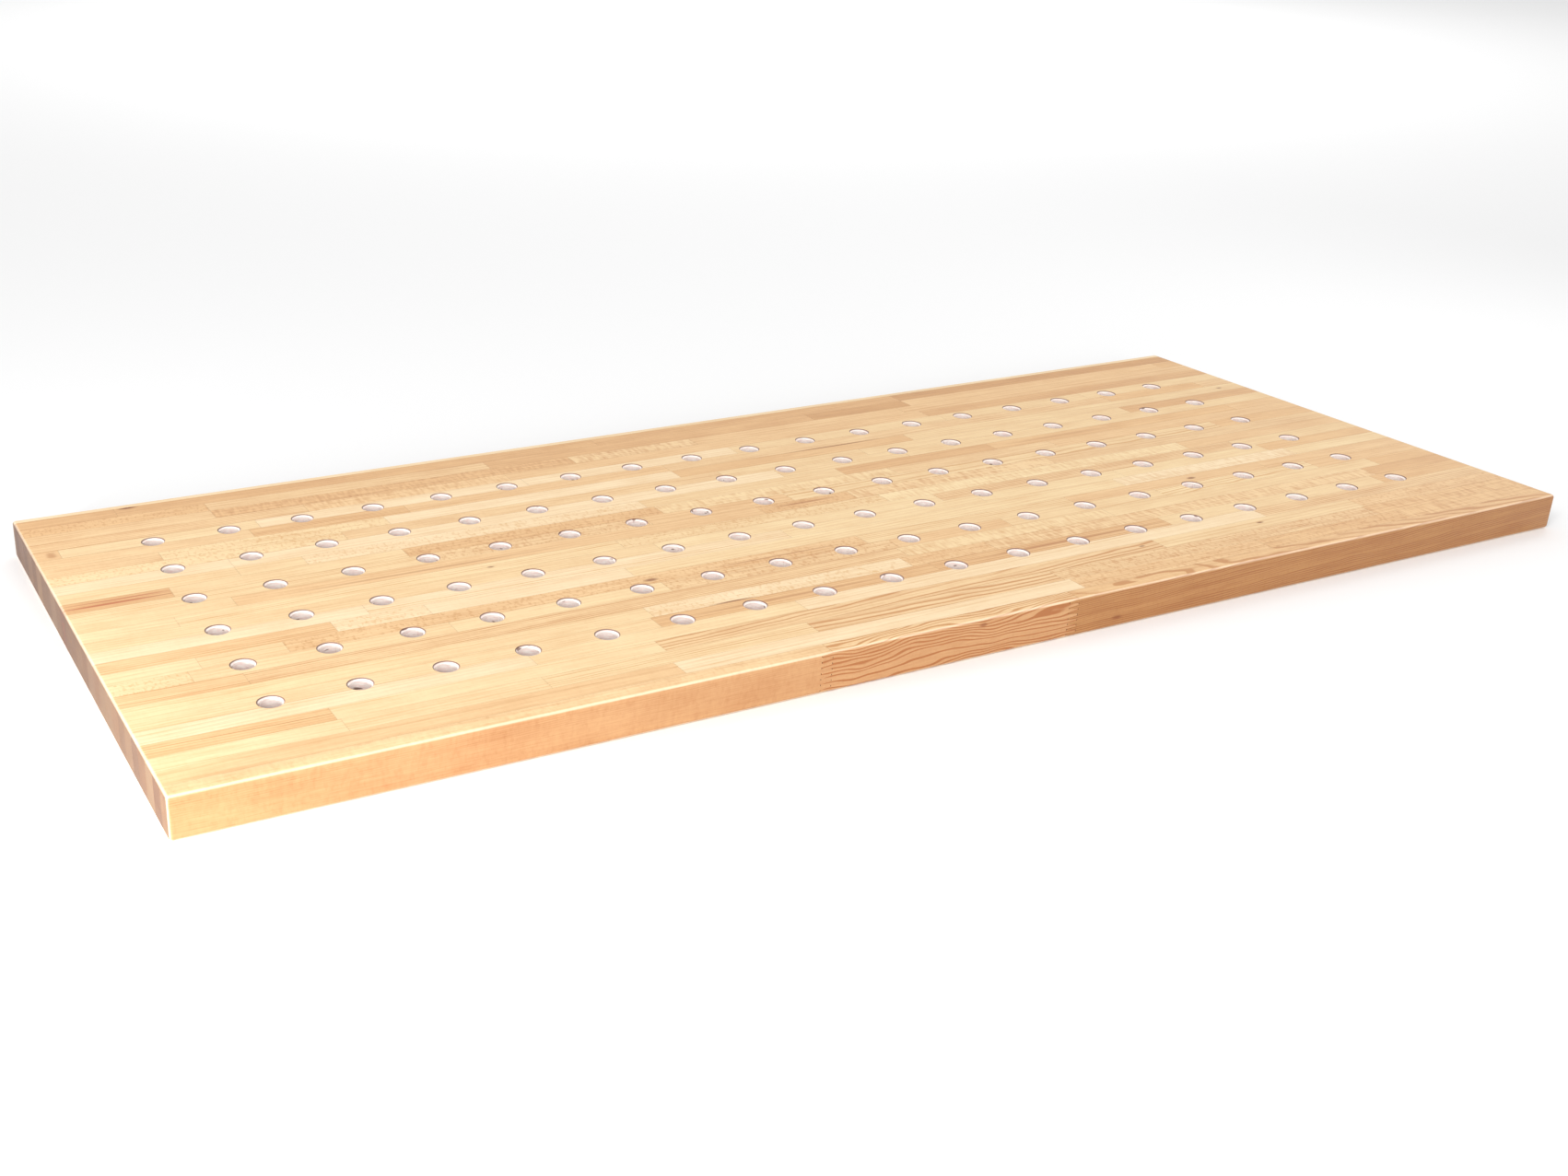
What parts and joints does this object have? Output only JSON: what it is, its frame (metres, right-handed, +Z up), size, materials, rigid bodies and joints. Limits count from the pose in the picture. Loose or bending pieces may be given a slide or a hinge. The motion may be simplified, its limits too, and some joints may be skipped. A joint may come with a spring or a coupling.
{
  "type": "laminated bench top with dog holes",
  "caption": "Thick slab of edge-glued hardwood strips with eased edges, bored through with a square grid of round holes for bench dogs.",
  "frame": {"origin": "on the underside, below the centre of the slab", "axes": "+X along the strips, to the right seen from the front edge; +Y from the front edge to the back edge; +Z up, out of the work face"},
  "size_m": [1.524, 0.6096, 0.0381],
  "materials": {
    "cream_wood": "cream sapwood, sanded, no coat",
    "honey_wood": "honey-coloured wood, sanded, no coat",
    "tan_wood": "tan wood, sanded, no coat",
    "rose_wood": "rose-brown wood, sanded, no coat",
    "brown_wood": "brown heartwood, sanded, no coat"
  },
  "bodies": {
    "root": {"front_strip_length_1": "honey_wood", "front_strip_length_2": "honey_wood", "front_strip_length_3": "rose_wood", "strip_02_length_1": "rose_wood", "strip_02_length_2": "tan_wood", "strip_03": "honey_wood", "strip_04_length_1": "cream_wood", "strip_04_length_2": "tan_wood", "strip_05": "cream_wood", "strip_06_length_1": "honey_wood", "strip_06_length_2": "rose_wood", "strip_06_length_3": "rose_wood", "strip_06_length_4": "honey_wood", "strip_06_length_5": "rose_wood", "strip_07_length_1": "honey_wood", "strip_07_length_2": "tan_wood", "strip_08": "honey_wood", "strip_09_length_1": "honey_wood", "strip_09_length_2": "cream_wood", "strip_09_length_3": "tan_wood", "strip_09_length_4": "tan_wood", "strip_09_length_5": "honey_wood", "strip_09_length_6": "cream_wood", "strip_09_length_7": "tan_wood", "strip_10_length_1": "tan_wood", "strip_10_length_2": "tan_wood", "strip_11_length_1": "cream_wood", "strip_11_length_2": "honey_wood", "strip_12_length_1": "cream_wood", "strip_12_length_2": "honey_wood", "strip_13_length_1": "honey_wood", "strip_13_length_2": "tan_wood", "strip_14": "honey_wood", "strip_15_length_1": "tan_wood", "strip_15_length_2": "honey_wood", "strip_16_length_1": "honey_wood", "strip_16_length_2": "honey_wood", "strip_16_length_3": "tan_wood", "strip_17_length_1": "cream_wood", "strip_17_length_2": "tan_wood", "strip_18_length_1": "cream_wood", "strip_18_length_2": "brown_wood", "strip_19_length_1": "cream_wood", "strip_19_length_2": "honey_wood", "strip_20_length_1": "honey_wood", "strip_20_length_2": "brown_wood", "strip_21_length_1": "honey_wood", "strip_21_length_2": "honey_wood", "strip_22": "tan_wood", "strip_23_length_1": "cream_wood", "strip_23_length_2": "cream_wood", "strip_23_length_3": "cream_wood", "strip_23_length_4": "honey_wood", "strip_23_length_5": "honey_wood", "strip_23_length_6": "tan_wood", "strip_24": "tan_wood", "strip_25": "tan_wood", "strip_26": "brown_wood", "strip_27": "brown_wood", "back_strip": "honey_wood"}
  },
  "joints": []
}
